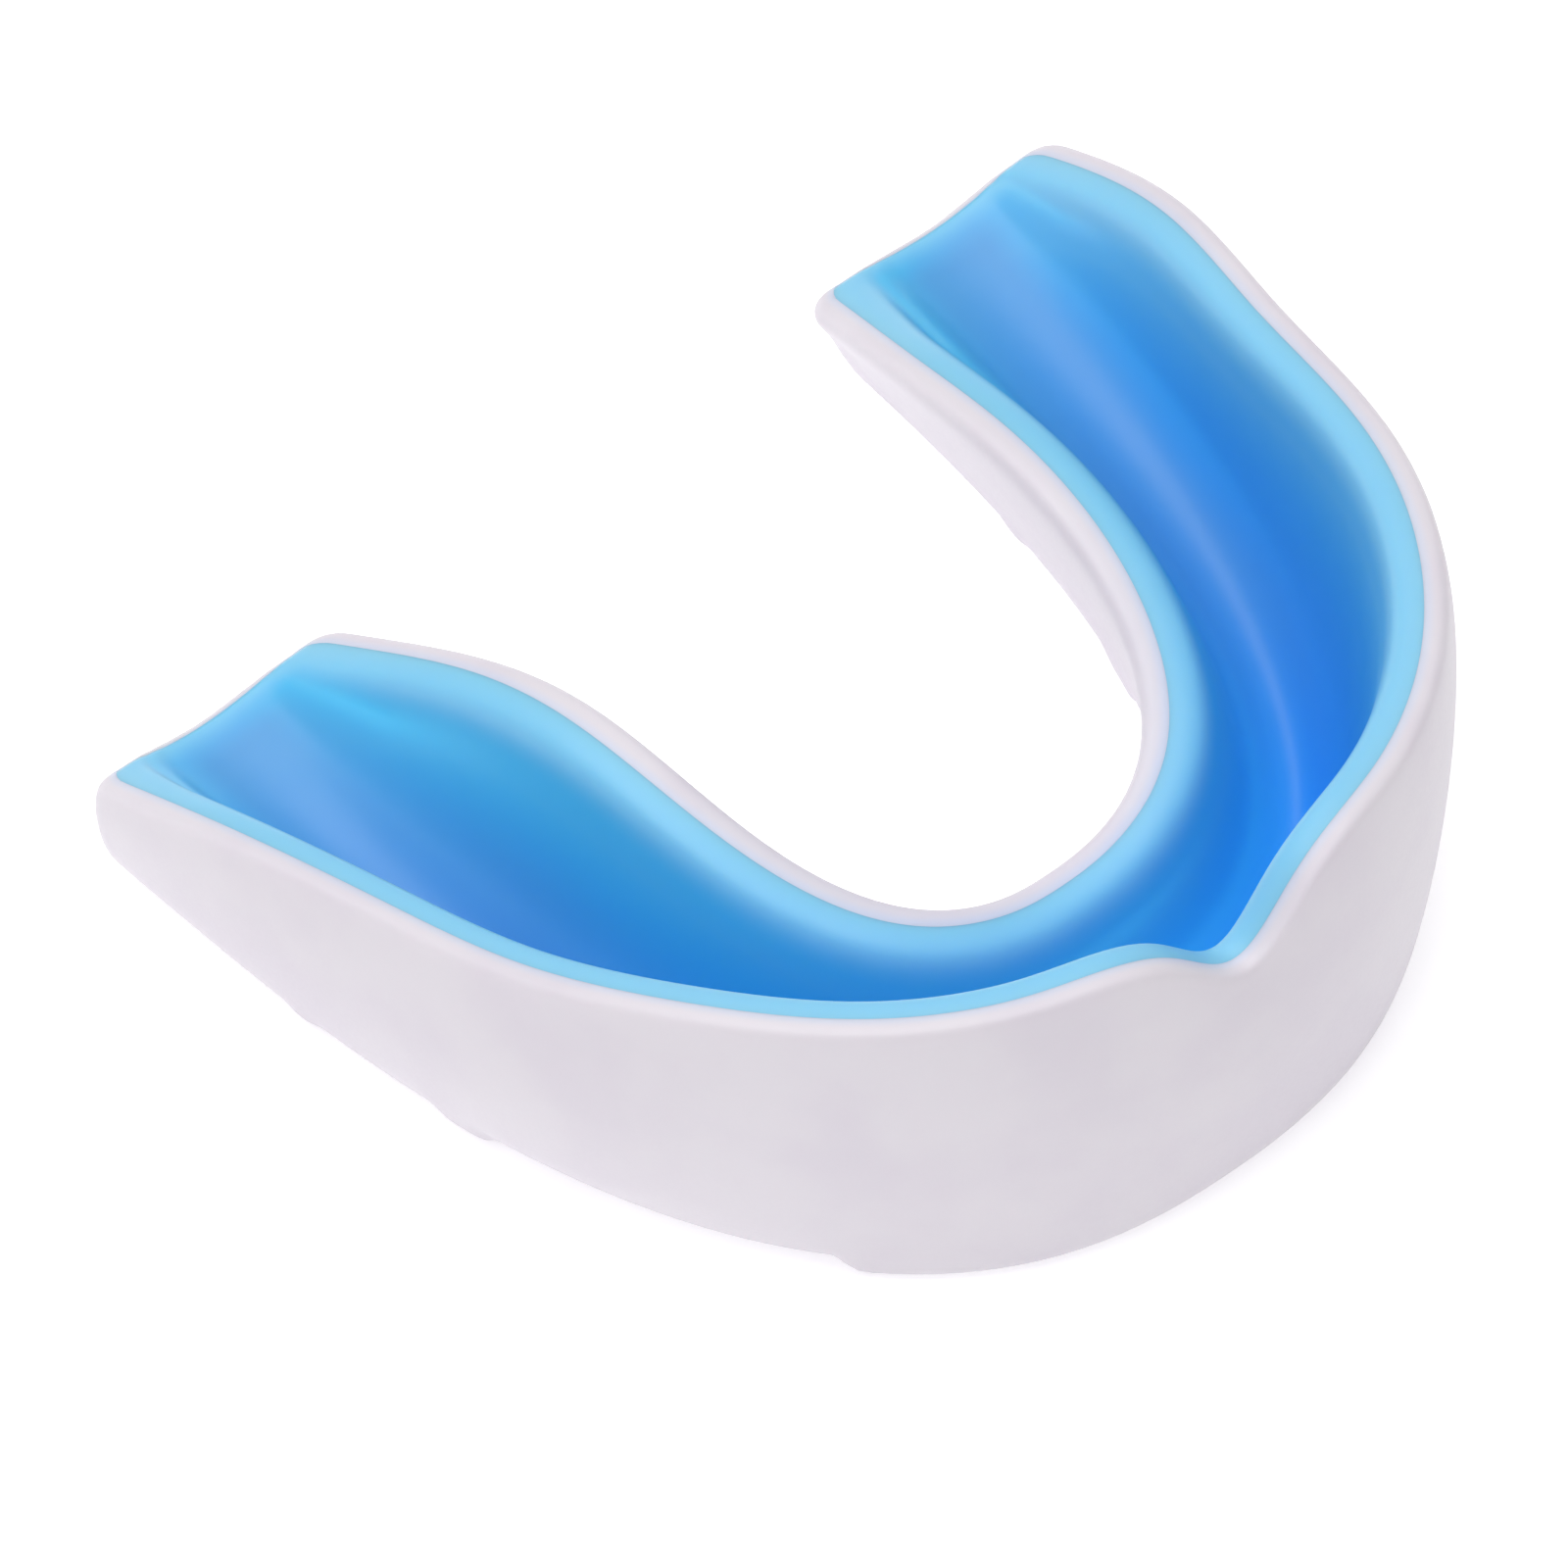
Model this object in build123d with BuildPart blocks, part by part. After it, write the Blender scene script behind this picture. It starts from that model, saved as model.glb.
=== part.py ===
"""Two-shot boil-and-bite mouthguard: a firm white outer shell with a soft blue gel liner.

The front teeth point to -Y and the two legs run back to +Y. The guard lies on its underside with
the tooth trough opening upwards. The origin is under the middle of the footprint. Sizes in mm.
"""
from build123d import *
from collections import namedtuple
from math import cos, radians, sin
import os

os.makedirs("parts", exist_ok=True)

# ---- overall sizes -------------------------------------------------------------------------
guard_depth = 55.0  # foremost point of the lip wall to the rear end of the legs
guard_width = 65.0  # across both legs, over the outer rim
rim_flare = 1.9  # the outer rim stands this far outside its foot, at the rear ends
rim_lead = 1.0  # and this far ahead of its foot, at the front
lip_lead = 1.8  # the swollen lip wall stands this far ahead of its foot
leg_bar = 12.0  # width of each leg at its foot
front_bar = 12.6  # foot of the lip wall to the foot of the inner wall behind it
guard_height = 23.8  # table to the top of the outer rim at the front

# ---- wall heights, front to rear: one row for each station of a half arch ------------------
# bulge: how far the outer wall swells past the straight line from foot to rim
Station = namedtuple("Station", "turn outer_top inner_top trough_floor inner_lean bulge")
stations = [
    #       turn  outer  inner  floor  lean  bulge
    Station(0, guard_height, 12.0, 5.0, 0.16, 1.2),  # between the two front teeth
    Station(15, guard_height, 12.8, 5.0, 0.14, 1.4),  # side incisor
    Station(30, 23.0, 14.1, 5.0, 0.12, 1.4),  # canine
    Station(44, 21.6, 15.5, 5.0, 0.15, 1.9),  # first premolar
    Station(57, 18.6, 16.8, 5.1, 0.20, 2.1),  # second premolar
    Station(69, 16.4, 16.5, 5.4, 0.26, 1.5),  # first molar
    Station(80, 13.9, 13.7, 6.0, 0.32, 1.2),  # second molar
    Station(90, 7.8, 7.6, 6.8, 0.32, 0.8),  # rear end
]
tail = Station(90, 6.5, 6.4, 5.4, 0.32, 0.8)  # behind the rear end, where the walls run on before the cut
tail_run = 4.0

# ---- walls and layers ----------------------------------------------------------------------
rim_wall = 1.3  # shell, at the rim
foot_wall = 2.2  # shell, at the foot of the cavity
shell_floor = 3.2  # top of the shell's floor above the table
rear_lip = 0.6  # shell left standing behind the liner
outer_band = 1.8  # liner, at the rim of the outer wall
inner_band = 2.2  # liner, at the rim of the inner wall
gel_foot = 2.0  # liner, at each foot of the trough
lip_drop = 0.5  # the rim's top slopes this far down from the shell to the trough
lip_spare = 1.0  # the blank's rim runs on this far past the lip, where the trough cuts it
foot_round = 2.2
cavity_round = 1.6
trough_round = 1.8
corner_round = 2.2  # rear corners of the legs, seen from above
corner_spare = 0.5  # the rounded outline stands this far outside the walls at the rear end
headroom = 6.0  # the cutting bodies stand this far above the rims
cut_spare = 1.0  # the notch and the reliefs start this far outside the faces that they cut
round_share = 0.4  # a floor's corner rounds take at most this share of its width each
sole_trim = 0.25  # the blank reaches this far below the table, and its sole is cut flat

# ---- underside: a front bite pad and two ridges reach the table ----------------------------
pad_back = 7.3  # the bite pad ends this far behind the front of the foot
ridge_starts = (25.5, 37.0)
ridge_ends = (29.5, 39.7)
relief_front = 1.5  # the underside between them is lifted this much at the front, none at the rear
relief_ramp = 1.2  # each pad and ridge slopes off over this length

# ---- lip notch -----------------------------------------------------------------------------
notch_half_width = 5.6
notch_depth = 3.0
notch_reach = 8.0  # cuts the outer wall and its liner, but not the inner wall

# ---- arch: four rounded outlines in plan, all ending on the rear line ----------------------
front_y = -guard_depth / 2
rear_y = guard_depth / 2
Outline = namedtuple("Outline", "half_width depth squareness")
outer_foot = Outline(guard_width / 2 - rim_flare, guard_depth - lip_lead, 2.4)
outer_rim = Outline(guard_width / 2, outer_foot.depth + rim_lead, 2.6)
inner_foot = Outline(outer_foot.half_width - leg_bar, outer_foot.depth - front_bar, 2.6)
centre_line = Outline(
    (outer_foot.half_width + inner_foot.half_width) / 2,
    (outer_foot.depth + inner_foot.depth) / 2,
    2.3,
)


def station_plane(turn):
    """Upright plane across the arch: its X points outwards and its Y points up."""
    line = centre_line
    side = 1 if turn >= 0 else -1
    run = sin(radians(abs(turn)))
    rise = abs(cos(radians(turn)))
    x = side * line.half_width * run ** (2 / line.squareness)
    y = rear_y - line.depth * rise ** (2 / line.squareness)
    slope = 2 - 2 / line.squareness
    outward = Vector(side * run**slope / line.half_width, -(rise**slope) / line.depth, 0).normalized()
    return Plane(origin=(x, y, 0), x_dir=outward, z_dir=Vector(0, 0, 1).cross(outward) * -1)


def reach(plane, outline):
    """Distance from the centre line to an outline, measured outwards in a station's plane."""
    low, high = -outline.half_width, outline.half_width
    for _ in range(50):
        middle = (low + high) / 2
        point = plane.origin + plane.x_dir * middle
        across = abs(point.X / outline.half_width) ** outline.squareness
        along = abs((rear_y - point.Y) / outline.depth) ** outline.squareness
        if across + along < 1:
            low = middle
        else:
            high = middle
    return low


Section = namedtuple(
    "Section", "plane outer_foot outer_rim inner_foot inner_rim outer_top inner_top floor bulge"
)


def section_at(station, side, run_on=0.0):
    """The guard's sizes in one station's plane, as distances from the centre line and heights."""
    plane = station_plane(side * station.turn)
    foot = reach(plane, inner_foot)
    return Section(
        Plane(plane.origin + Vector(0, run_on, 0), x_dir=plane.x_dir, z_dir=plane.z_dir),
        reach(plane, outer_foot),
        reach(plane, outer_rim),
        foot,
        foot - station.inner_lean * station.inner_top,
        station.outer_top,
        station.inner_top,
        station.trough_floor,
        station.bulge,
    )


right_leg = [section_at(station, 1) for station in reversed(stations)]
left_leg = [section_at(station, -1) for station in stations[1:]]
arch = [section_at(tail, 1, tail_run)] + right_leg + left_leg + [section_at(tail, -1, tail_run)]

# ---- rear end: in plan, the legs end square with rounded corners -----------------------------
rear = right_leg[0]
leg_middle = rear.plane.origin.X + (rear.outer_rim + rear.inner_rim) / 2
leg_width = rear.outer_rim - rear.inner_rim + 2 * corner_spare
leg_length = 20.0


def plan_limits(inset_sides, inset_rear):
    """A tall block on the table with the plan limits of the leg ends, moved in by the two insets."""
    end_y = rear_y - inset_rear
    round_off = corner_round - inset_sides
    with BuildPart() as limits:
        with BuildSketch():
            with Locations((0, end_y - round_off - guard_depth)):
                Rectangle(2 * guard_width, 2 * guard_depth)
            with Locations((leg_middle, end_y - leg_length / 2), (-leg_middle, end_y - leg_length / 2)):
                RectangleRounded(leg_width - 2 * inset_sides, leg_length, round_off)
        extrude(amount=2 * guard_height)
    return limits.part


# ---- blank: the whole guard with its trough filled in --------------------------------------
with BuildPart() as blank:
    for cut in arch:
        foot = (cut.outer_foot, -sole_trim)
        rim = (cut.outer_rim, cut.outer_top)
        swell = ((foot[0] + rim[0]) / 2 + cut.bulge, rim[1] / 2)
        with BuildSketch(cut.plane) as profile:
            with BuildLine():
                ThreePointArc(foot, swell, rim)
                Polyline(
                    rim,
                    (cut.outer_rim - rim_wall - outer_band - lip_spare, cut.outer_top - lip_drop),
                    (cut.inner_rim + rim_wall + inner_band + lip_spare, cut.inner_top - lip_drop),
                    (cut.inner_rim, cut.inner_top),
                    (cut.inner_foot, -sole_trim),
                    foot,
                )
            make_face()
            fillet(profile.vertices().group_by(Axis.Y)[0], foot_round)
    loft()
    add(plan_limits(0, 0), mode=Mode.INTERSECT)

# ---- cavity: cuts the shell open from above, and bounds the liner ----------------------------
with BuildPart() as cavity:
    for cut in arch:
        outer_side = cut.outer_rim - rim_wall
        inner_side = cut.inner_rim + rim_wall
        floor_width = cut.outer_foot - cut.inner_foot - 2 * foot_wall
        with BuildSketch(cut.plane) as profile:
            with BuildLine():
                Polyline(
                    (cut.inner_foot + foot_wall, shell_floor),
                    (cut.outer_foot - foot_wall, shell_floor),
                    (outer_side, cut.outer_top),
                    (outer_side, cut.outer_top + headroom),
                    (inner_side, cut.inner_top + headroom),
                    (inner_side, cut.inner_top),
                    close=True,
                )
            make_face()
            fillet(profile.vertices().group_by(Axis.Y)[0], min(cavity_round, round_share * floor_width))
    loft()
    add(plan_limits(rim_wall, rear_lip), mode=Mode.INTERSECT)

# ---- trough: the space for the teeth, open at the top and over the rear lips -----------------
with BuildPart() as trough:
    for cut in arch:
        outer_lip = cut.outer_rim - rim_wall - outer_band
        inner_lip = cut.inner_rim + rim_wall + inner_band
        depth = min(cut.outer_top, cut.inner_top) - lip_drop - cut.floor
        floor_width = cut.outer_foot - cut.inner_foot - 2 * (foot_wall + gel_foot)
        with BuildSketch(cut.plane) as profile:
            with BuildLine():
                Polyline(
                    (cut.inner_foot + foot_wall + gel_foot, cut.floor),
                    (cut.outer_foot - foot_wall - gel_foot, cut.floor),
                    (outer_lip, cut.outer_top - lip_drop),
                    (outer_lip, cut.outer_top + headroom),
                    (inner_lip, cut.inner_top + headroom),
                    (inner_lip, cut.inner_top - lip_drop),
                    close=True,
                )
            make_face()
            round_limit = min(depth / 2, round_share * floor_width)
            fillet(profile.vertices().group_by(Axis.Y)[0], min(trough_round, round_limit))
    loft()

# ---- notch for the lip's frenum, a smooth dip in the middle of the outer wall ------------------
with BuildPart() as notch:
    rim_height = stations[0].outer_top
    with BuildSketch(Plane.XZ.offset(cut_spare - front_y)):
        with BuildLine():
            dip = Spline(
                (-notch_half_width, rim_height),
                (0, rim_height - notch_depth),
                (notch_half_width, rim_height),
                tangents=[(1, 0), (1, 0)],
            )
            Polyline(
                dip @ 1,
                (notch_half_width, rim_height + cut_spare),
                (-notch_half_width, rim_height + cut_spare),
                dip @ 0,
            )
        make_face()
    extrude(amount=-(notch_reach + cut_spare))

# ---- reliefs: the underside is lifted off the table between the pad, the ridges and the ends ----


def lift(y):
    """Height of the lifted underside above the table, falling evenly to nothing at the rear end."""
    return relief_front * (rear_y - y) / guard_depth


foot_front = front_y + lip_lead
gap_starts = [foot_front + pad_back] + [foot_front + y for y in ridge_ends]
gap_ends = [foot_front + y for y in ridge_starts] + [rear_y]
with BuildPart() as reliefs:
    with BuildSketch(Plane.YZ):
        for start, end in zip(gap_starts, gap_ends):
            with BuildLine():
                Polyline(
                    (start, -cut_spare),
                    (start, 0),
                    (start + relief_ramp, lift(start + relief_ramp)),
                    (end - relief_ramp, lift(end - relief_ramp)),
                    (end, 0),
                    (end, -cut_spare),
                    close=True,
                )
            make_face()
    extrude(amount=guard_width, both=True)

# ---- outer shell: firm white moulding ----------------------------------------------------------
with BuildPart() as outer_shell:
    add(blank.part)
    add(cavity.part, mode=Mode.SUBTRACT)
    add(trough.part, mode=Mode.SUBTRACT)
    add(notch.part, mode=Mode.SUBTRACT)
    add(reliefs.part, mode=Mode.SUBTRACT)
outer_shell.part.label = "outer_shell"
export_step(outer_shell.part, "parts/outer_shell.step")

# ---- gel liner: soft blue lining, bonded into the shell ----------------------------------------
with BuildPart() as gel_liner:
    add(blank.part)
    add(cavity.part, mode=Mode.INTERSECT)
    add(trough.part, mode=Mode.SUBTRACT)
    add(notch.part, mode=Mode.SUBTRACT)
gel_liner.part.label = "gel_liner"
export_step(gel_liner.part, "parts/gel_liner.step")

for piece in (outer_shell.part, gel_liner.part):
    print(piece.label, piece.is_valid, len(piece.solids()), round(piece.volume), piece.bounding_box())
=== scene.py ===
# %% [markdown]
# # A two-shot mouthguard: firm white shell, soft blue gel liner
# A boil-and-bite guard is moulded twice. The firm shell comes first, and the soft gel is then
# moulded into it, so that the two share one surface and no seam shows but a change of colour.
# Both pieces are made here as skins swept round the arch of the teeth. The real mould is drawn
# the same way: a cross-section for each tooth, and a smooth surface through all of them.

import bpy
import numpy as np
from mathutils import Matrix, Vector


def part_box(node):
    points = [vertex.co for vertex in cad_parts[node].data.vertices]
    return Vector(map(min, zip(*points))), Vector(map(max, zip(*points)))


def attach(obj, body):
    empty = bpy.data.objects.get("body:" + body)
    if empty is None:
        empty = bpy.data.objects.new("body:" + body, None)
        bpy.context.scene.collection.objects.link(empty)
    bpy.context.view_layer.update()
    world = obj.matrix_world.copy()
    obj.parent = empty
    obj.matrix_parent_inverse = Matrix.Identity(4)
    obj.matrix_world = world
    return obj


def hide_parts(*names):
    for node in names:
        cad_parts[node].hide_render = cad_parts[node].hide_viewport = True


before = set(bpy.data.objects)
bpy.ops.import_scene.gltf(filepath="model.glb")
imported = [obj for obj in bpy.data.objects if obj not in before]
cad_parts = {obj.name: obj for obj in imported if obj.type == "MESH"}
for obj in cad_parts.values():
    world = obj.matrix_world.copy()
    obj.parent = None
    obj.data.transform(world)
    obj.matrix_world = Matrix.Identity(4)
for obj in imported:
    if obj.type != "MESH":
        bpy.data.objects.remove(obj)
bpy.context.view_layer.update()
shell_low, shell_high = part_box("outer_shell")

MM = 0.001  # the frame is in metres, and the sizes below are in millimetres
REAR_Y = shell_high.y / MM  # the legs end on this line
GUARD_DEPTH = (shell_high.y - shell_low.y) / MM

# %% [markdown]
# ## The arch in plan
# Seen from above, the guard is a U. Its four outlines (rim and foot of the outer wall, foot of
# the inner wall, and a centre line between them) are superellipses: rounder at the front than a
# box, squarer than an ellipse, and straight where they meet the rear line. One formula with
# three values gives each of them, and it is how dental arches are usually measured.

# %% Outlines
HALF_WIDTH = 32.5  # of the outer rim
RIM_FLARE = 1.9  # the rim stands this far outside the foot at the rear ends
RIM_LEAD = 1.0  # and this far ahead of it at the front
LIP_LEAD = 1.8  # foremost point of the lip wall, ahead of its foot
LEG_BAR = 12.0  # width of a leg at its foot
FRONT_BAR = 12.6  # the same at the front

FOOT = (HALF_WIDTH - RIM_FLARE, GUARD_DEPTH - LIP_LEAD, 2.42)  # half width, depth, squareness
RIM = (HALF_WIDTH, FOOT[1] + RIM_LEAD, 2.57)
INNER = (FOOT[0] - LEG_BAR, FOOT[1] - FRONT_BAR, 2.57)
CENTRE = ((FOOT[0] + INNER[0]) / 2, (FOOT[1] + INNER[1]) / 2, 2.3)


def centre_table(count=4001):
    """The right half of the centre line, as distances from the front, x, y and turn."""
    share = np.linspace(0, 1, count)
    turn = np.radians(90 * (1 - (1 - share) ** 2))
    half_width, depth, square = CENTRE
    x = half_width * np.sin(turn) ** (2 / square)
    y = REAR_Y - depth * np.maximum(np.cos(turn), 0) ** (2 / square)
    run = np.concatenate([[0], np.cumsum(np.hypot(np.diff(x), np.diff(y)))])
    return run, x, y, turn


CENTRE_TABLE = centre_table()
LENGTH = CENTRE_TABLE[0][-1]


def across(runs):
    """Points on the centre line and the directions straight out of the arch at them."""
    run, xs, ys, turns = CENTRE_TABLE
    side = np.where(runs < 0, -1.0, 1.0)
    half_width, depth, square = CENTRE
    turn = np.interp(np.abs(runs), run, turns)
    power = 2 - 2 / square
    out = np.stack(
        [side * np.sin(turn) ** power / half_width, -(np.abs(np.cos(turn)) ** power) / depth], -1
    )
    point = np.stack([side * np.interp(np.abs(runs), run, xs), np.interp(np.abs(runs), run, ys)], -1)
    return point, out / np.linalg.norm(out, axis=1, keepdims=True)


def reach(point, out, outline):
    """Distance outwards from the centre line to an outline, found by halving."""
    half_width, depth, square = outline
    low = np.full(len(point), -half_width)
    high = np.full(len(point), half_width)
    for _ in range(40):
        middle = (low + high) / 2
        at = point + out * middle[:, None]
        inside = (
            np.abs(at[:, 0] / half_width) ** square + np.abs((REAR_Y - at[:, 1]) / depth) ** square < 1
        )
        low = np.where(inside, middle, low)
        high = np.where(inside, high, middle)
    return low


print("centre line", round(LENGTH, 1), "mm from the front to each rear end")

# %% [markdown]
# ## Wall heights round the arch
# The lip wall is tallest over the front teeth and falls in steps of about a tooth towards the
# molars. The inner wall does the opposite: it rises towards the second premolar and falls again.
# A few listed heights and a natural spline through them keep the rims fair, as a bent batten
# would. The spline is mirrored about the front, so the rims cross the middle level.

# %% Heights
RUNS = [0, 7.5, 15, 22.5, 31, 39.5, 48, LENGTH]  # mm along the centre line
OUTER_TOP = [23.8, 23.8, 23.0, 21.5, 18.6, 16.1, 13.9, 7.8]
INNER_TOP = [12.0, 12.7, 13.9, 15.3, 16.6, 16.3, 13.5, 7.6]
TROUGH_FLOOR = [5.0, 5.0, 5.0, 5.0, 5.1, 5.4, 6.0, 7.3]
INNER_LEAN = [0.16, 0.14, 0.13, 0.16, 0.22, 0.28, 0.32, 0.32]  # mm inwards for each mm up
INNER_WALL = [1.3, 1.3, 1.4, 1.5, 1.65, 1.6, 1.35, 1.3]  # shell at the inner rim
GEL_FOOT = [2.0, 2.0, 1.9, 1.7, 1.3, 1.0, 0.9, 0.9]  # gel beside the trough's floor
RIM_SHIFT = [0.7, 0.0, -0.4, -0.4, -0.4, -0.6, 0.1, 0.0]  # outer rim, off its plain outline
BULGE = [1.2, 1.3, 1.1, 1.7, 2.1, 1.5, 1.2, 0.8]  # swell of the outer wall between foot and rim


def fair(values, runs):
    """A natural cubic spline through the values at RUNS, mirrored about the front."""
    at = np.array(RUNS, float)
    knots = np.concatenate([-at[:0:-1], at])
    heights = np.concatenate([values[:0:-1], values]).astype(float)
    gap = np.diff(knots)
    slope = np.diff(heights) / gap
    matrix = np.eye(len(knots))
    load = np.zeros(len(knots))
    for i in range(1, len(knots) - 1):
        matrix[i, i - 1 : i + 2] = gap[i - 1], 2 * (gap[i - 1] + gap[i]), gap[i]
        load[i] = 6 * (slope[i] - slope[i - 1])
    bend = np.linalg.solve(matrix, load)
    x = np.abs(runs)
    i = np.clip(np.searchsorted(knots, x) - 1, 0, len(gap) - 1)
    a, b, h = knots[i + 1] - x, x - knots[i], gap[i]
    cubic = (bend[i] * a**3 + bend[i + 1] * b**3) / (6 * h)
    return cubic + (heights[i] / h - bend[i] * h / 6) * a + (heights[i + 1] / h - bend[i + 1] * h / 6) * b


def smooth(start, end, x):
    """0 before start, 1 after end, and a smooth rise between them."""
    t = np.clip((x - start) / (end - start), 0, 1)
    return t * t * (3 - 2 * t)


# %% [markdown]
# ## The lip notch
# The frenum, the cord of skin that ties the upper lip to the gum, needs a gap in the middle of
# the lip wall. It is a soft dip with a low shoulder on each side, where the moulded bead of the
# rim runs out. A bell curve gives the dip, and a second one each side gives the shoulders.

# %% Notch
NOTCH_DEPTH = 4.3
NOTCH_SPREAD = 3.8  # from the middle to where the dip is about a third of its depth
SHOULDER = 0.3  # height of the rise on each side


def notch(x):
    """Change in the height of the outer rim at x mm from the middle."""
    share = np.abs(x) / NOTCH_SPREAD
    return -NOTCH_DEPTH * np.exp(-(share**2)) + SHOULDER * np.exp(-(((share - 2.3) / 0.9) ** 2))


# %% [markdown]
# ## Cross-sections
# Each section is drawn in its own upright plane across the arch, as distances out from the
# centre line and heights. The rear corners of the legs are rounded in plan and their edges are
# eased, so the last few millimetres of sections are drawn in by a quarter circle.

# %% Sections
RIM_WALL = 1.3  # shell at the outer rim
FOOT_WALL = 2.2  # shell at the foot of the cavity
SHELL_FLOOR = 3.2  # top of the shell's floor
OUTER_BAND = 1.8  # flat of gel along the outer rim
INNER_BAND = 2.2  # the same along the inner rim
CORNER = 1.7  # rear corners, from above
EASE = 0.8  # rear edges, from the side
REAR_LIP = 0.5  # shell behind the liner
BOND_GAP = 0.05  # keeps the two meshes of the bond apart, below the rims


def quarter(distance, radius):
    """How far a rounded end has drawn in at a distance from the end."""
    left = np.clip(radius - distance, 0, radius)
    return radius - np.sqrt(radius**2 - left**2)


def sections(runs):
    """The sizes of every section, one value for each run."""
    point, out = across(runs)
    foot = reach(point, out, FOOT)
    rim = reach(point, out, RIM) + fair(RIM_SHIFT, runs)
    inner = reach(point, out, INNER)
    inner_top = fair(INNER_TOP, runs)
    end = LENGTH - np.abs(runs)
    draw = quarter(end, CORNER)
    ease = quarter(end, EASE)
    front = point[:, 1] < 0
    outer_top = fair(OUTER_TOP, runs) + np.where(front, notch(point[:, 0] + out[:, 0] * rim), 0)
    return {
        "point": point,
        "out": out,
        "end": end,
        "ease": ease,
        "foot": foot - draw,
        "rim": rim - draw,
        "inner": inner + draw,
        "inner_rim": inner - fair(INNER_LEAN, runs) * inner_top + draw,
        "outer_top": outer_top - ease,
        "inner_top": inner_top - ease,
        "floor": fair(TROUGH_FLOOR, runs) - ease,
        "bulge": fair(BULGE, runs),
        "inner_wall": fair(INNER_WALL, runs),
        "gel_foot": fair(GEL_FOOT, runs),
    }


def curve(points, count):
    """A clamped cubic B-spline for every section. points is a list of (distance, height)."""
    control = np.stack([np.stack(np.broadcast_arrays(*p), -1) for p in points], -2)
    n, degree = len(points), 3
    inner_knots = np.arange(n - degree + 1)
    knots = np.concatenate([[0] * degree, inner_knots, [n - degree] * degree]).astype(float)
    u = np.linspace(0, n - degree, count)
    u[-1] -= 1e-9
    basis = ((u[:, None] >= knots[:-1]) & (u[:, None] < knots[1:])).astype(float)
    for r in range(1, degree + 1):
        lower = np.zeros((count, len(knots) - r - 1))
        for i in range(lower.shape[1]):
            rise, fall = knots[i + r] - knots[i], knots[i + r + 1] - knots[i + 1]
            if rise > 0:
                lower[:, i] += (u - knots[i]) / rise * basis[:, i]
            if fall > 0:
                lower[:, i] += (knots[i + r + 1] - u) / fall * basis[:, i + 1]
        basis = lower
    return np.einsum("mn,snk->smk", basis, control)


# %% [markdown]
# The shell's skin starts where the gel meets the rim, rolls over the bead of the rim, goes down
# the swollen outer wall, under the sole and up the tongue side to the other rim. The gel's skin
# is the trough: a flat band inside each rim, a wall that steepens and eases, and a soft floor.
# The cavity between them is the surface that the two mouldings share.

# %% Profiles
AROUND = 84  # points along each profile


def shell_skin(s):
    """Outside of the shell, from the gel's outer edge round to its inner edge."""
    foot, rim, inner, inner_rim = s["foot"], s["rim"], s["inner"], s["inner_rim"]
    top, inner_top, w, inner_w = s["outer_top"], s["inner_top"], RIM_WALL, s["inner_wall"]

    def wall(share):
        return foot + (rim - foot) * share + 4 * s["bulge"] * share * (1 - share)

    return curve(
        [
            (rim - w, top),
            (rim - 0.6 * w, top + 0.1),
            (rim - 0.05, top + 0.1),
            (rim + 0.12, top - 1.0),
            (wall(0.78), top * 0.78),
            (wall(0.5), top * 0.5),
            (wall(0.25), top * 0.25),
            (foot + 0.5, 1.6),
            (foot - 0.2, 0.02),
            (foot - 2.4, 0.0),
            ((foot + inner) / 2, 0.0),
            (inner + 2.4, 0.0),
            (inner + 0.2, 0.02),
            (inner - 0.35, 1.6),
            (inner + (inner_rim - inner) * 0.4, inner_top * 0.4),
            (inner + (inner_rim - inner) * 0.7, inner_top * 0.7),
            (inner_rim - 0.12, inner_top - 1.0),
            (inner_rim + 0.05, inner_top + 0.1),
            (inner_rim + 0.6 * inner_w, inner_top + 0.1),
            (inner_rim + inner_w, inner_top),
        ],
        AROUND,
    )


def gel_skin(s):
    """The trough, from the outer rim's edge of gel to the inner rim's."""
    top, inner_top, floor = s["outer_top"], s["inner_top"], s["floor"]
    edge, inner_edge = s["rim"] - RIM_WALL, s["inner_rim"] + s["inner_wall"]
    lip, inner_lip = edge - OUTER_BAND, inner_edge + INNER_BAND
    foot = s["foot"] - FOOT_WALL - s["gel_foot"]
    inner_foot = s["inner"] + FOOT_WALL + s["gel_foot"]
    drop = np.minimum(1.8, 0.4 * (top - floor))
    inner_drop = np.minimum(2.4, 0.4 * (inner_top - floor))

    def down(share, side):
        start, end, height = (lip, foot, top) if side > 0 else (inner_lip, inner_foot, inner_top)
        return start + (end - start) * share, height + (floor - height) * max(share, 0.4)

    return curve(
        [
            (edge, top),
            (edge - 0.5 * OUTER_BAND, top - 0.02 * drop),
            (lip + 0.2, top - 0.15 * drop),
            (lip - 0.25, top - drop),
            down(0.35, 1),
            down(0.75, 1),
            (foot, floor + 0.16 * (top - floor)),
            (foot * 0.7 + inner_foot * 0.3, floor - 0.1),
            (foot * 0.3 + inner_foot * 0.7, floor - 0.1),
            (inner_foot, floor + 0.16 * (inner_top - floor)),
            down(0.75, -1),
            down(0.35, -1),
            (inner_lip + 0.4, inner_top - inner_drop),
            (inner_lip - 0.3, inner_top - 0.2 * inner_drop),
            (inner_edge + 0.5 * INNER_BAND, inner_top - 0.02 * inner_drop),
            (inner_edge, inner_top),
        ],
        AROUND,
    )


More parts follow.
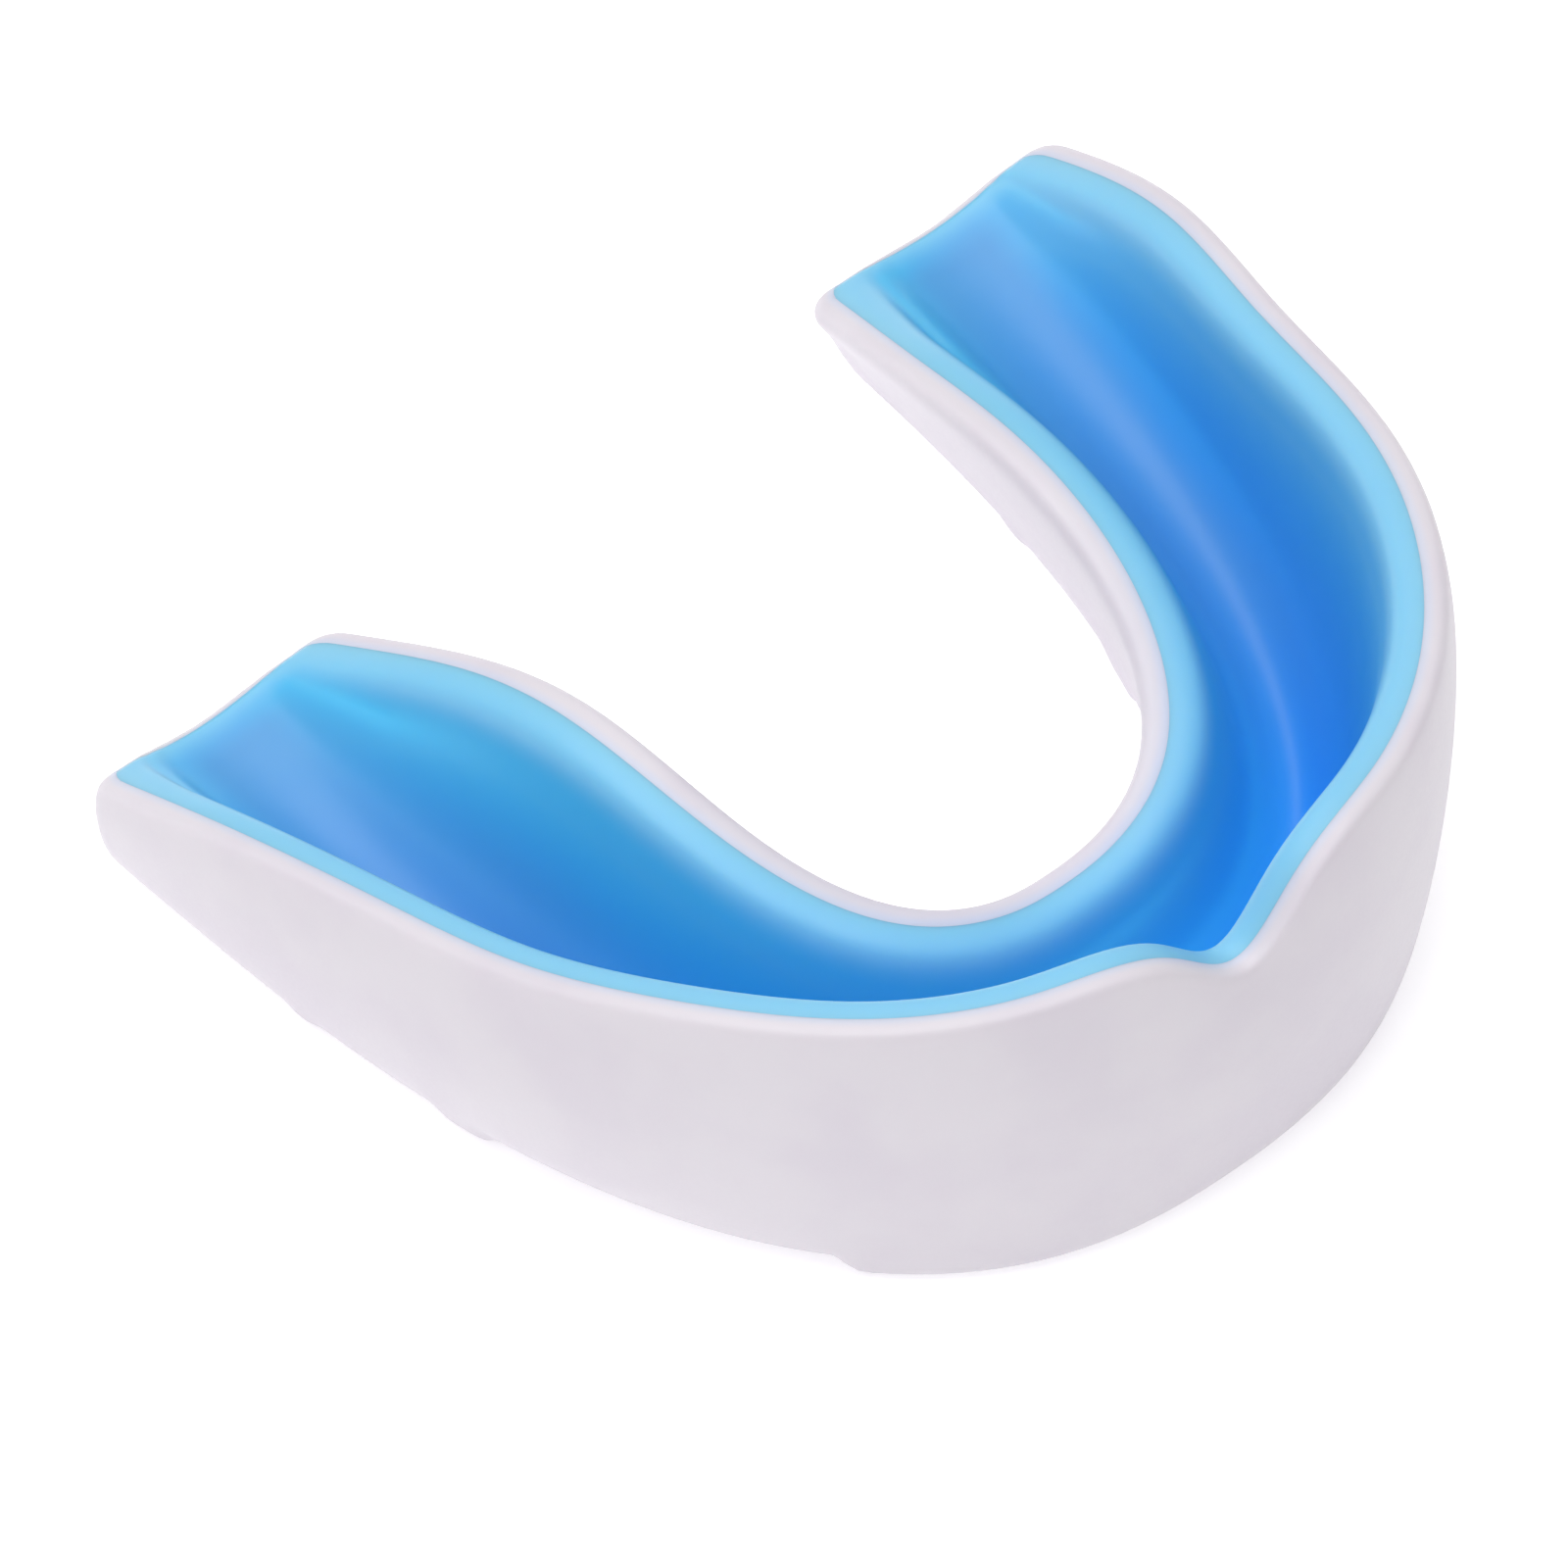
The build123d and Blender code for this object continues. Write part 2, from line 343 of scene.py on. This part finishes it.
def cavity(s, gap=0.0):
    """The surface that shell and gel share, from the outer rim to the inner rim."""
    foot, inner = s["foot"] - FOOT_WALL - gap, s["inner"] + FOOT_WALL + gap
    floor = SHELL_FLOOR + gap
    edge, inner_edge = s["rim"] - RIM_WALL, s["inner_rim"] + s["inner_wall"]
    return curve(
        [
            (edge, s["outer_top"]),
            (edge * 0.7 + foot * 0.3, s["outer_top"] * 0.7 + floor * 0.3),
            (edge * 0.2 + foot * 0.8, s["outer_top"] * 0.2 + floor * 0.8),
            (foot, floor + 0.2),
            (foot - 1.2, floor),
            ((foot + inner) / 2, floor),
            (inner + 1.2, floor),
            (inner, floor + 0.2),
            (inner_edge * 0.2 + inner * 0.8, s["inner_top"] * 0.2 + floor * 0.8),
            (inner_edge * 0.7 + inner * 0.3, s["inner_top"] * 0.7 + floor * 0.3),
            (inner_edge, s["inner_top"]),
        ],
        AROUND,
    )


# %% [markdown]
# ## The sole
# Only the front bite pad and two ridges under each leg touch the table. Between them the sole is
# lifted, most behind the pad and by nothing at the rear ends, so that the lower teeth bite on the
# pad and the ridges first. The lift fades out up the walls, and the edges slope off softly.

# %% Sole
RELIEF = 1.5  # mm of lift, if it reached the front
RAMP = 1.2  # mm over which a pad or ridge slopes off
LIFT_FADE = 6  # mm up the walls, where the lift has faded out
PAD_BACK = 7.3  # from the front of the foot
RIDGES = [(25.5, 29.5), (37.0, 39.7)]  # the same, start and end
FOOT_FRONT = REAR_Y - FOOT[1]


def lift(y):
    """How far the sole is raised at y."""
    back = y - FOOT_FRONT
    touch = 1 - smooth(PAD_BACK, PAD_BACK + RAMP, back)
    for start, end in RIDGES:
        touch = np.maximum(touch, smooth(start, start + RAMP, back) * (1 - smooth(end - RAMP, end, back)))
    return RELIEF * np.clip((REAR_Y - y) / GUARD_DEPTH, 0, 1) * (1 - touch)


def place(s, profile, raise_sole):
    """Profiles in their planes to points in the frame, in mm."""
    point, out = s["point"], s["out"]
    x = point[:, None, 0] + out[:, None, 0] * profile[..., 0]
    y = point[:, None, 1] + out[:, None, 1] * profile[..., 0]
    z = profile[..., 1].copy()
    if raise_sole:
        near_sole = 1 - smooth(0, LIFT_FADE, z)
        z += (lift(y) + s["ease"][:, None]) * near_sole
    return np.stack([x, y, z], -1)


# %% [markdown]
# ## From sections to closed skins
# The sections stand 0.5 mm apart, and closer at the notch and at the rear ends, where the shape
# turns fastest. Each piece is closed: the shell's outside joins the cavity, and behind the liner
# it is closed by a thin lip whose top follows the trough, then by a flat end.

# %% Meshes
NEAR_STEP = 0.25  # mm between sections round the notch
STEP = 0.5  # and along the legs
NOTCH_END = 9  # mm from the front
END_ZONE = 3.4  # the closest sections start this far from the rear end
END_STEPS = np.array([0.0, 0.05, 0.12, 0.25, 0.4, REAR_LIP, 0.7, 1.0, 1.4, 1.9, 2.4, 3.0])


def half_runs():
    """Distances of the sections from the front to one rear end."""
    near = np.arange(0, NOTCH_END, NEAR_STEP)
    along = np.arange(NOTCH_END, LENGTH - END_ZONE, STEP)
    return np.unique(np.concatenate([near, along, LENGTH - END_STEPS]))


def arch_runs(end=0.0):
    """The sections of the whole arch, up to a distance from each rear end."""
    half = half_runs()
    half = half[half <= LENGTH - end + 1e-6]
    return np.concatenate([-half[:0:-1], half])


def grid_faces(rings, points):
    """Quads between neighbouring rings of points."""
    i, j = np.meshgrid(np.arange(rings - 1), np.arange(points - 1), indexing="ij")
    a = i * points + j
    return np.stack([a, a + 1, a + points + 1, a + points], -1).reshape(-1, 4)


def closed_skin(name, outside, inside, attributes):
    """A closed mesh of two grids that share their first and last lines. inside faces the other way."""
    rings, points = outside.shape[:2]
    vertices = np.concatenate([outside.reshape(-1, 3), inside[:, 1:-1].reshape(-1, 3)])
    first = grid_faces(rings, points)
    index = np.arange(rings * points).reshape(rings, points)
    inner = rings * points + np.arange(rings * (points - 2)).reshape(rings, points - 2)
    lining = np.concatenate([index[:, :1], inner, index[:, -1:]], 1)
    second = np.stack([lining[1:, :-1], lining[1:, 1:], lining[:-1, 1:], lining[:-1, :-1]], -1).reshape(-1, 4)
    caps = []
    for ring, flip in ((0, False), (rings - 1, True)):
        cap = np.stack([index[ring, :-1], lining[ring, :-1], lining[ring, 1:], index[ring, 1:]], -1)
        caps.append(cap[:, ::-1] if flip else cap)
    faces = [tuple(dict.fromkeys(f)) for f in np.concatenate([first, second, *caps]).tolist()]
    mesh = bpy.data.meshes.new(name)
    mesh.from_pydata((vertices * MM).tolist(), [], [f for f in faces if len(f) > 2])
    for label, values in attributes.items():
        layer = mesh.attributes.new(label, "FLOAT", "POINT")
        filled = np.concatenate([values.reshape(-1), values[:, 1:-1].reshape(-1)])
        layer.data.foreach_set("value", filled.astype(np.float32))
    mesh.shade_smooth()
    mesh.update()
    ends = np.zeros(len(mesh.edges) * 2, int)
    mesh.edges.foreach_get("vertices", ends)
    ends = ends.reshape(-1, 2)
    column = np.where(ends < rings * points, ends % points, -1)
    on_line = (column[:, 0] == column[:, 1]) & np.isin(column[:, 0], (0, points - 1))
    mesh.attributes.new("sharp_edge", "BOOLEAN", "EDGE").data.foreach_set("value", on_line)
    piece = bpy.data.objects.new(name, mesh)
    bpy.context.scene.collection.objects.link(piece)
    print(name, len(mesh.vertices), "vertices", len(mesh.polygons), "faces")
    return piece


shell_s = sections(arch_runs())
skin = place(shell_s, shell_skin(shell_s), True)
trough_all = place(shell_s, gel_skin(shell_s), False)
cavity_all = place(shell_s, cavity(shell_s), False)
behind_gel = shell_s["end"] < REAR_LIP - 0.01
lining = np.where(behind_gel[:, None, None], trough_all, cavity_all)

# %% [markdown]
# Facts about the shape go into the meshes for the finishes to use. The shell stores the distance
# from the gel, because a trace of blue shows through the thin edge of the white. The gel stores
# the depth below the rims, because a thicker layer looks deeper blue, and the finish also darkens
# with depth as painted shade of the trough. It also stores the distances from the rims and the
# rear ends, and the share of the way across the leg.

# %% Pieces
CLEAR_OF_GEL = 5.0  # mm; the flat ends behind the lip show no blue
edge_distance = np.minimum(
    np.linalg.norm(skin - skin[:, :1], axis=-1), np.linalg.norm(skin - skin[:, -1:], axis=-1)
)
flat_end = shell_s["end"][:, None] < END_STEPS[1] / 2
edge_distance = np.where(flat_end, CLEAR_OF_GEL, edge_distance)
shell = closed_skin("shell_moulding", skin, lining, {"edge_mm": edge_distance})

gel_s = sections(arch_runs(REAR_LIP))
trough = place(gel_s, gel_skin(gel_s), False)
bed = place(gel_s, cavity(gel_s, BOND_GAP), False)
share = np.linspace(0, 1, AROUND)[None]
distance = gel_skin(gel_s)[..., 0]
to_inner = smooth(0.35, 0.65, share)
rims = gel_s["outer_top"][:, None] * (1 - to_inner) + gel_s["inner_top"][:, None] * to_inner
depth = rims - trough[..., 2]
from_rims = np.minimum(
    np.linalg.norm(trough - trough[:, :1], axis=-1), np.linalg.norm(trough - trough[:, -1:], axis=-1)
)
gel = closed_skin(
    "gel_lining",
    trough,
    bed,
    {
        "depth_mm": depth,
        "band_mm": from_rims,
        "end_mm": np.repeat(gel_s["end"][:, None], AROUND, 1),
        "across": (distance - distance[:, :1]) / (distance[:, -1:] - distance[:, :1]),
    },
)

for piece, node, slot_name in ((shell, "outer_shell", "shell"), (gel, "gel_liner", "gel")):
    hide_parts(node)
    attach(piece, "root")

# %% [markdown]
# ## Colour and node helpers
# Colours are picked as ordinary hex colours, and the renderer works in linear light, so one
# function turns one into the other. One more small function adds a shader node, sets it up and
# wires it, which keeps each finish below down to a few lines.

# %% Helpers for finishes


def colour(code):
    """A hex colour such as "7dc6e9" as linear red, green, blue and a full alpha."""
    parts = [int(code[i : i + 2], 16) / 255 for i in (0, 2, 4)]
    return [p / 12.92 if p <= 0.04045 else ((p + 0.055) / 1.055) ** 2.4 for p in parts] + [1.0]


def add(tree, kind, settings=None, **inputs):
    """A shader node. settings are its properties, and inputs are values or sockets to link."""
    node = tree.nodes.new(kind)
    for key, value in (settings or {}).items():
        setattr(node, key, value)
    for key, value in inputs.items():
        name = key.replace("_", " ")
        socket = node.inputs[int(key[1:])] if key[1:].isdigit() else node.inputs[name]
        if isinstance(value, bpy.types.NodeSocket):
            tree.links.new(value, socket)
        else:
            socket.default_value = value
    return node


def ramp(tree, factor, stops):
    """A colour ramp through (position, hex) stops."""
    node = add(tree, "ShaderNodeValToRGB", Fac=factor)
    band = node.color_ramp
    band.interpolation = "B_SPLINE"
    while len(band.elements) < len(stops):
        band.elements.new(0.5)
    for element, (position, code) in zip(band.elements, stops):
        element.position = position
        element.color = colour(code)
    return node.outputs["Color"]


def mix(tree, factor, a, b):
    """A blend of two colours."""
    node = add(tree, "ShaderNodeMix", {"data_type": "RGBA"}, i0=factor, i6=a, i7=b)
    return node.outputs[2]


def maths(tree, operation, a, b=0.0, c=0.0):
    """One sum on numbers or sockets."""
    return add(tree, "ShaderNodeMath", {"operation": operation}, i0=a, i1=b, i2=c).outputs[0]


def fade(tree, value, start, end, to_low=0.0, to_high=1.0):
    """A smooth change from to_low at start to to_high at end."""
    settings = {"interpolation_type": "SMOOTHSTEP"}
    inputs = {"i0": value, "i1": start, "i2": end, "i3": to_low, "i4": to_high}
    return add(tree, "ShaderNodeMapRange", settings, **inputs).outputs[0]


def attribute(tree, name):
    """A value stored on the mesh."""
    return add(tree, "ShaderNodeAttribute", {"attribute_name": name}).outputs["Fac"]


def noise(tree, where, size_mm, detail=3.0):
    """Soft random variation with patches of about the given size."""
    node = add(tree, "ShaderNodeTexNoise", Vector=where, Scale=1 / (size_mm * MM), Detail=detail)
    return node.outputs["Fac"]


def finish(name):
    """A new material with its tree, its main shader and the object's own coordinates."""
    material = bpy.data.materials.new(name)
    material.use_nodes = True
    tree = material.node_tree
    where = add(tree, "ShaderNodeTexCoord").outputs["Object"]
    return material, tree, tree.nodes["Principled BSDF"], where


# %% [markdown]
# ## White thermoplastic shell
# The shell is a matte-satin white rubber with a faint lilac cast. Light goes a little way into
# it, which softens its shadows. Its mould was bead-blasted, so a fine grain of about 0.25 mm
# breaks up the sheen, with slow unevenness of several millimetres from cooling.

# %% Shell finish
white, tree, shader, where = finish("white_thermoplastic_satin")
cloud = noise(tree, where, 9.0)
body = mix(tree, fade(tree, cloud, 0.35, 0.65), colour("dad5dc"), colour("d6d0d9"))
near_gel = fade(tree, attribute(tree, "edge_mm"), 0.0, 0.7, 0.5, 0.0)
tree.links.new(mix(tree, near_gel, body, colour("c3d3f0")), shader.inputs["Base Color"])
grain = noise(tree, where, 0.25, 2.0)
tree.links.new(fade(tree, grain, 0.3, 0.7, 0.42, 0.52), shader.inputs["Roughness"])
uneven = add(tree, "ShaderNodeBump", Strength=0.08, Distance=0.5 * MM, Height=cloud)
fine = add(tree, "ShaderNodeBump", Strength=0.05, Distance=0.05 * MM, Height=grain, Normal=uneven.outputs[0])
tree.links.new(fine.outputs[0], shader.inputs["Normal"])
shader.inputs["IOR"].default_value = 1.48
shader.inputs["Subsurface Weight"].default_value = 0.35
shader.inputs["Subsurface Radius"].default_value = (1.0, 0.85, 0.9)
shader.inputs["Subsurface Scale"].default_value = 1.2 * MM
shell.data.materials.append(white)
print("finish", white.name)

# %% [markdown]
# ## Blue gel liner
# The gel is a translucent blue elastomer over white, with a soft sheen. Where it is thin, along
# the rims, it is pale cyan. Down the walls the colour gets deeper by two ramps, one for the lip
# side and a greener one for the tongue side; the deepening is partly the thicker gel and partly
# painted shade of the deep trough. The floor of each leg gets a painted sheen, a pale lavender
# reflection of the overhead light, which fades towards the front, where the walls are tallest and
# the blue is strongest.

# %% Gel finish
blue, tree, shader, where = finish("blue_gel_elastomer_gloss")
DEEPEST = 17.0  # mm below the rims, where the blue is strongest
deep = attribute(tree, "depth_mm")
band = attribute(tree, "band_mm")
end = attribute(tree, "end_mm")
slow = noise(tree, where, 7.0)
# The blue deepens with depth below the rims and past the rim bands: partly thicker gel, partly painted shade
# of the trough.
past_band = maths(tree, "MULTIPLY", fade(tree, band, 1.4, 3.5, 0.0, 0.2), fade(tree, end, 0.2, 2.0))
thickness_and_shade = maths(tree, "MAXIMUM", maths(tree, "DIVIDE", deep, DEEPEST), past_band)
thickness_and_shade = maths(tree, "MULTIPLY_ADD", slow, 0.06, maths(tree, "SUBTRACT", thickness_and_shade, 0.03))
LIP_SIDE = [
    (0.0, "86c8ea"),
    (0.12, "70c0ea"),
    (0.25, "54b2ea"),
    (0.42, "40a4e8"),
    (0.7, "3094e4"),
    (1.0, "2088e4"),
]
TONGUE_SIDE = [
    (0.0, "84c8ea"),
    (0.1, "66beea"),
    (0.2, "4abcea"),
    (0.35, "38b8ee"),
    (0.6, "32b4ee"),
    (1.0, "2eaeee"),
]
walls = ramp(tree, thickness_and_shade, LIP_SIDE)
side = attribute(tree, "across")
tongue_side = ramp(tree, thickness_and_shade, TONGUE_SIDE)
walls = mix(tree, fade(tree, side, 0.45, 0.75), walls, tongue_side)
# Painted sheen: a pale lavender reflection of the overhead light on the floor of each leg, fading towards the
# front and the rear edge.
painted_sheen = fade(tree, side, 0.2, 0.38)
painted_sheen = maths(tree, "MULTIPLY", painted_sheen, fade(tree, side, 0.6, 0.85, 1.0, 0.0))
painted_sheen = maths(tree, "MULTIPLY", painted_sheen, fade(tree, end, 20.0, 46.0, 1.0, 0.0))
painted_sheen = maths(tree, "MULTIPLY", painted_sheen, fade(tree, end, 0.3, 3.0))
walls_with_painted_sheen = mix(tree, maths(tree, "MULTIPLY", painted_sheen, 0.75), walls, colour("5294d0"))
tree.links.new(walls_with_painted_sheen, shader.inputs["Base Color"])
tree.links.new(fade(tree, slow, 0.3, 0.7, 0.4, 0.48), shader.inputs["Roughness"])
swirl = add(tree, "ShaderNodeBump", Strength=0.06, Distance=0.4 * MM, Height=slow)
tree.links.new(swirl.outputs[0], shader.inputs["Normal"])
shader.inputs["IOR"].default_value = 1.45
shader.inputs["Subsurface Weight"].default_value = 0.3
shader.inputs["Subsurface Radius"].default_value = (0.4, 0.8, 1.2)
shader.inputs["Subsurface Scale"].default_value = 1.5 * MM
shader.inputs["Coat Weight"].default_value = 0.06
shader.inputs["Coat Roughness"].default_value = 0.3
gel.data.materials.append(blue)
print("finish", blue.name)

# %% [markdown]
# ## Table, light and camera
# The guard lies on a plain white table that glows a little, which keeps shadows pale. One large
# soft light hangs overhead, as in a packshot tent, and fills the trough. Three small ones add a
# little from the left, the rear and the front. The camera looks down from the front left with a
# very long lens, which an orthographic one stands for.

# %% Table
floor_mesh = bpy.data.meshes.new("table")
HALF_TABLE = 1.5  # metres
floor_mesh.from_pydata(
    [(x * HALF_TABLE, y * HALF_TABLE, 0) for x, y in ((-1, -1), (1, -1), (1, 1), (-1, 1))],
    [],
    [(0, 1, 2, 3)],
)
table = bpy.data.objects.new("table", floor_mesh)
bpy.context.scene.collection.objects.link(table)
paper, tree, shader, where = finish("white_paper_matte")
shader.inputs["Base Color"].default_value = colour("f7f7f8")
shader.inputs["Roughness"].default_value = 0.9
shader.inputs["Emission Color"].default_value = (1, 1, 1, 1)
shader.inputs["Emission Strength"].default_value = 0.4
floor_mesh.materials.append(paper)

# %% Lights
LIT_POINT = Vector((0, 0, 0.01))  # all the lamps face this point, in metres


def softbox(name, place_at, size, power):
    """A square soft light that faces the guard."""
    data = bpy.data.lights.new(name, "AREA")
    data.shape = "SQUARE"
    data.size = size
    data.energy = power
    lamp = bpy.data.objects.new(name, data)
    lamp.location = place_at
    lamp.rotation_euler = (LIT_POINT - Vector(place_at)).to_track_quat("-Z", "Y").to_euler()
    bpy.context.scene.collection.objects.link(lamp)


softbox("overhead", (-0.1, 0.1, 0.8), 0.9, 6.0)
softbox("key_left", (-0.55, -0.15, 0.65), 0.5, 0.8)
softbox("fill_rear", (0.3, 0.55, 0.65), 0.5, 0.75)
softbox("fill_front", (0.1, -0.7, 0.45), 0.5, 0.35)
world = bpy.data.worlds.new("tent")
world.use_nodes = True
world.node_tree.nodes["Background"].inputs["Color"].default_value = (1, 1, 1, 1)
world.node_tree.nodes["Background"].inputs["Strength"].default_value = 0.3
bpy.context.scene.world = world
bpy.context.scene.view_settings.view_transform = "Standard"

# %% Camera
AZIMUTH, ELEVATION = np.radians(-40.3), np.radians(53.0)
AIM = Vector((-5.4, 3.6, 9.0)) * MM
VIEW_WIDTH = 80.9 * MM
STAND_OFF = 0.5  # metres
away = Vector(
    (np.sin(AZIMUTH) * np.cos(ELEVATION), -np.cos(AZIMUTH) * np.cos(ELEVATION), np.sin(ELEVATION))
)
lens = bpy.data.cameras.new("camera")
lens.type = "ORTHO"
lens.ortho_scale = VIEW_WIDTH
camera = bpy.data.objects.new("camera", lens)
camera.location = AIM + away * STAND_OFF
camera.rotation_euler = (-away).to_track_quat("-Z", "Y").to_euler()
bpy.context.scene.collection.objects.link(camera)
bpy.context.scene.camera = camera
